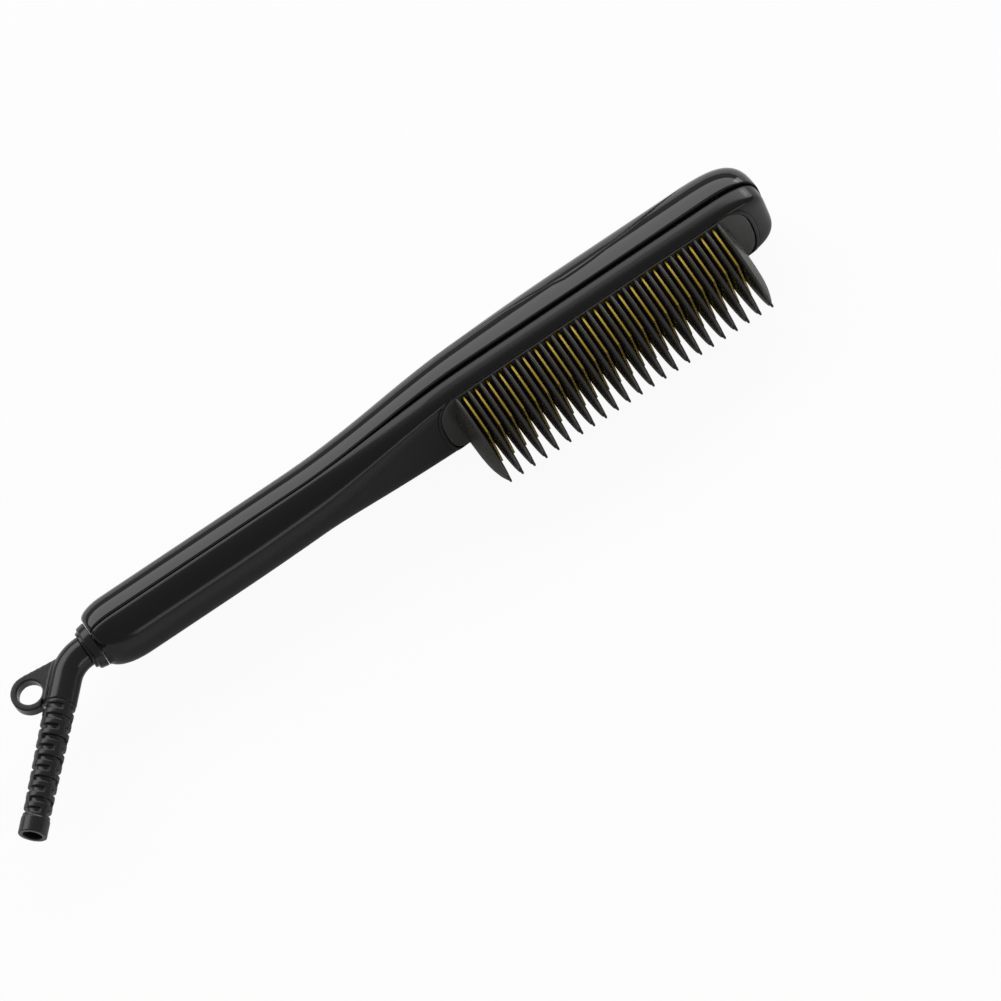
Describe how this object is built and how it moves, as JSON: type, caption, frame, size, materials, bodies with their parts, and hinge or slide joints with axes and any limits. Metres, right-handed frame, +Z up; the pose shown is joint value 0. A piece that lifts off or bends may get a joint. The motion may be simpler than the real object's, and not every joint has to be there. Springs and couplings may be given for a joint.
{
  "type": "heated beard comb",
  "caption": "Slim heated beard straightening comb with a glossy black back, golden heated fins between blade teeth, one push button and a swivel cord exit.",
  "frame": {"origin": "bottom centre of the bounding box, the comb lying on its side", "axes": "+X along the handle towards the head, +Y towards the glossy back (the teeth point to -Y), +Z up, across the head's width"},
  "size_m": [0.2726, 0.0568, 0.0312],
  "materials": {
    "gloss_black": "gloss",
    "gloss_leaf": "gloss",
    "satin_black": "satin",
    "comb_plastic": "satin",
    "golden": "satin",
    "element": "satin",
    "film": "satin",
    "bright_metal": "satin",
    "fuse_metal": "satin",
    "part_black": "matte",
    "screw_steel": "satin",
    "button_black": "gloss",
    "ivory": "satin",
    "board_green": "satin",
    "lead_red": "satin",
    "lead_blue": "satin",
    "soft_black": "satin",
    "brass": "satin",
    "spring_bronze": "satin"
  },
  "bodies": {
    "housing": {"back_shell": "gloss_black", "leaf_panel": "gloss_leaf", "lower_shell": "satin_black", "comb_plate": "comb_plastic", "comb_teeth": "comb_plastic", "heater_base": "golden", "heater_fins": "golden", "heating_elements": "element", "heater_insulator": "film", "heater_clamp": "bright_metal", "thermal_fuse": "fuse_metal", "thermistor": "part_black", "housing_screws": "screw_steel", "switch_body": "part_black", "circuit_board": "board_green", "board_parts": "part_black", "board_screws": "screw_steel", "heater_leads": "lead_red", "cord_leads": "lead_blue", "swivel_bush": "ivory", "contact_block": "ivory", "contact_springs": "spring_bronze"},
    "button": {"power_button": "button_black", "switch_plunger": "ivory"},
    "swivel": {"swivel_collar": "satin_black", "cord_elbow": "satin_black", "strain_relief": "soft_black", "retaining_clip": "screw_steel", "slip_rings": "brass"}
  },
  "joints": [
    {"name": "button_press", "type": "slide", "parent": "housing", "child": "button", "axis": [0, -1, 0], "range_m": [0, 0.0005], "stiffness_N_per_m": 1500},
    {"name": "cord_swivel", "type": "hinge", "parent": "housing", "child": "swivel", "pos_m": [-0.08865, 0.01383, 0.0156], "axis": [1, 0, 0], "continuous": true}
  ]
}
